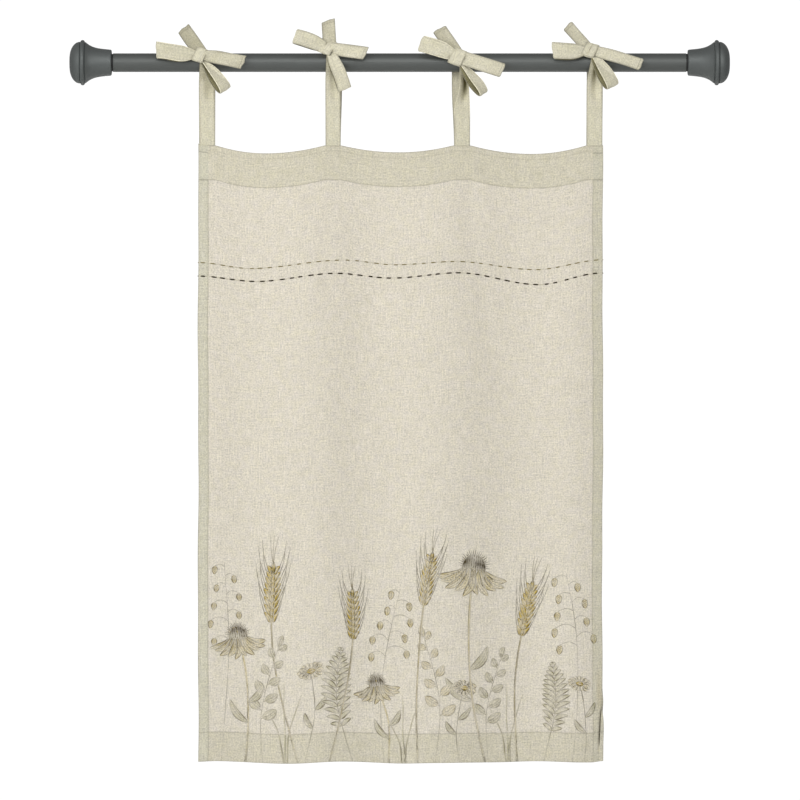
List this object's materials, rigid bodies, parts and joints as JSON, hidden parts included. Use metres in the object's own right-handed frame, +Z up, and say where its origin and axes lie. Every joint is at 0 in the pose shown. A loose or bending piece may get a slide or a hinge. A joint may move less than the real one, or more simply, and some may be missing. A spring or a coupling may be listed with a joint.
{
  "type": "cafe curtain on rod",
  "caption": "Linen cafe curtain with a meadow print along its lower edge, tied in bows to a round rod with bell-shaped ends that clamps between two walls.",
  "frame": {"origin": "middle of the small flat on the outer face of the rod's left end, on the rod's axis", "axes": "+X along the rod from the left end to the right end, +Z up, -Y towards the room, where the bows are"},
  "size_m": [0.99, 0.0774, 1.1162],
  "materials": {
    "rod_paint": "satin dark grey paint",
    "rod_end": "satin dark grey, like the tube",
    "plug": "matt black",
    "linen": "natural plain-woven linen",
    "tie_linen": "natural linen, double and stitched"
  },
  "bodies": {
    "root": {"rod_tube": "rod_paint", "rod_end_left": "rod_end", "rod_end_right": "rod_end", "rod_plug_left": "plug", "rod_plug_right": "plug", "panel": "linen", "tie_1_front": "tie_linen", "tie_1_back": "tie_linen", "tie_1_bow": "tie_linen", "tie_2_front": "tie_linen", "tie_2_back": "tie_linen", "tie_2_bow": "tie_linen", "tie_3_front": "tie_linen", "tie_3_back": "tie_linen", "tie_3_bow": "tie_linen", "tie_4_front": "tie_linen", "tie_4_back": "tie_linen", "tie_4_bow": "tie_linen"}
  },
  "joints": []
}
